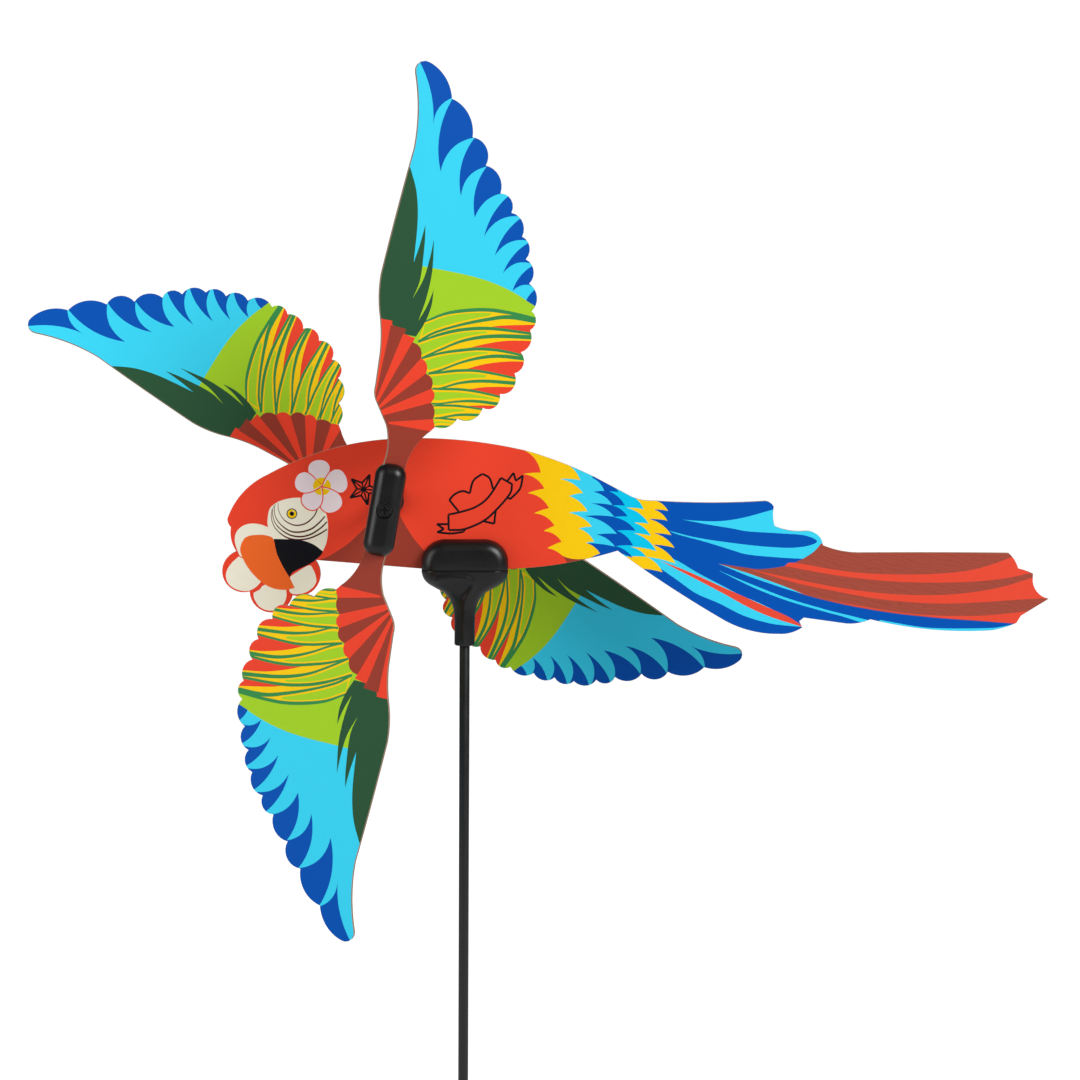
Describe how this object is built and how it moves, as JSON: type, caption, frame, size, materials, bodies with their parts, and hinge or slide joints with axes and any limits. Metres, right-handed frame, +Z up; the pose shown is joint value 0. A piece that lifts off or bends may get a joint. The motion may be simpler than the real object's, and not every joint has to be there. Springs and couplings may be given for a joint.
{
  "type": "parrot wind spinner",
  "caption": "Wind spinner: a flat printed parrot that turns on its mast like a weather vane, with pitched feathered wings that spin on a cross axle at each side.",
  "frame": {"origin": "on the mast's axis at the ground line, where the buried length of the mast begins", "axes": "+X towards the bird's tail, +Y to the back of the bird, +Z up the mast"},
  "size_m": [0.6092, 0.1679, 0.9396],
  "materials": {
    "printed_plywood": "printed and varnished, satin",
    "black_plastic": "moulded, satin",
    "white_nylon": "moulded",
    "steel": "drawn bar",
    "black_steel": "blackened",
    "black_rod": "satin powder coat"
  },
  "bodies": {
    "mast": {"mast_lower": "black_rod", "mast_joint": "black_rod", "mast_upper": "black_rod", "mast_point": "black_rod", "pivot_cap": "white_nylon"},
    "bird": {"body_plate": "printed_plywood", "axle": "steel", "front_collar": "black_plastic", "rear_collar": "black_plastic", "front_tube": "black_plastic", "rear_tube": "black_plastic", "front_thrust_washer": "white_nylon", "rear_thrust_washer": "white_nylon", "front_end_washer": "steel", "rear_end_washer": "steel", "front_hub_screw": "black_steel", "rear_hub_screw": "black_steel", "front_jaw": "black_plastic", "rear_jaw": "black_plastic", "jaw_screws": "black_steel", "mast_socket": "black_plastic"},
    "front_rotor": {"front_wing_upper": "printed_plywood", "front_wing_lower": "printed_plywood", "front_hub": "black_plastic", "front_sleeve": "white_nylon"},
    "rear_rotor": {"rear_wing_left": "printed_plywood", "rear_wing_right": "printed_plywood", "rear_hub": "black_plastic", "rear_sleeve": "white_nylon"}
  },
  "joints": [
    {"name": "bird_yaw", "type": "hinge", "parent": "mast", "child": "bird", "pos_m": [0, 0, 0.53], "axis": [0, 0, 1], "continuous": true},
    {"name": "front_wings_spin", "type": "hinge", "parent": "bird", "child": "front_rotor", "pos_m": [-0.0445, -0.067, 0.58], "axis": [0, 1, 0], "continuous": true},
    {"name": "rear_wings_spin", "type": "hinge", "parent": "bird", "child": "rear_rotor", "pos_m": [-0.0445, 0.067, 0.58], "axis": [0, 1, 0], "continuous": true}
  ]
}
